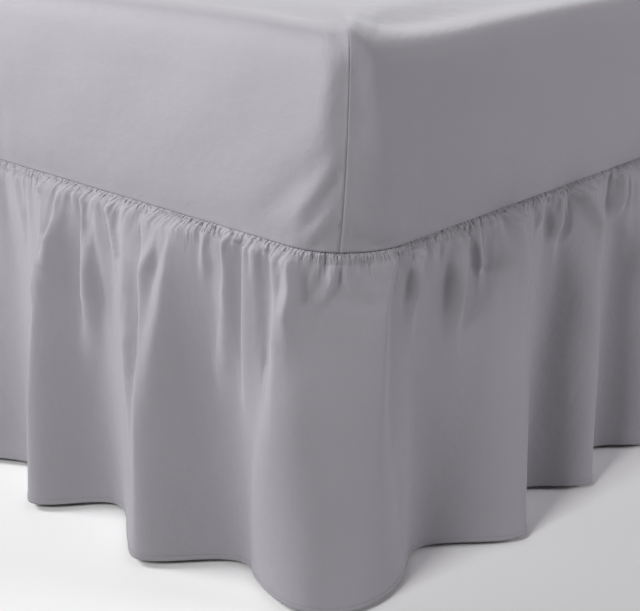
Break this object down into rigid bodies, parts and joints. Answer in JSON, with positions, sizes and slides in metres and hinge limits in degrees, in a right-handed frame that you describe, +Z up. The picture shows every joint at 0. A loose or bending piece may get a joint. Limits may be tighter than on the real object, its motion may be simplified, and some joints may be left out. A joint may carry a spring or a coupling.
{
  "type": "fitted bed skirt on a mattress and bed base",
  "caption": "Fitted bed skirt: a smooth cloth cover over a mattress, with a gathered frill sewn round its lower edge that hangs nearly to the floor.",
  "frame": {"origin": "on the floor, under the middle of the bed", "axes": "+Y along the bed from the foot end to the head end, +X across it, +Z up"},
  "size_m": [1.1646, 2.1886, 0.6574],
  "materials": {
    "cover_cloth": "plain weave, matt",
    "frill_cloth": "plain weave, matt",
    "ticking": "matt",
    "base_cloth": "matt",
    "foot_plastic": "satin"
  },
  "bodies": {
    "root": {"fitted_cover": "cover_cloth", "frill": "frill_cloth", "mattress": "ticking", "bed_base": "base_cloth", "foot_front_left": "foot_plastic", "foot_front_right": "foot_plastic", "foot_middle_left": "foot_plastic", "foot_middle_right": "foot_plastic", "foot_back_left": "foot_plastic", "foot_back_right": "foot_plastic"}
  },
  "joints": []
}
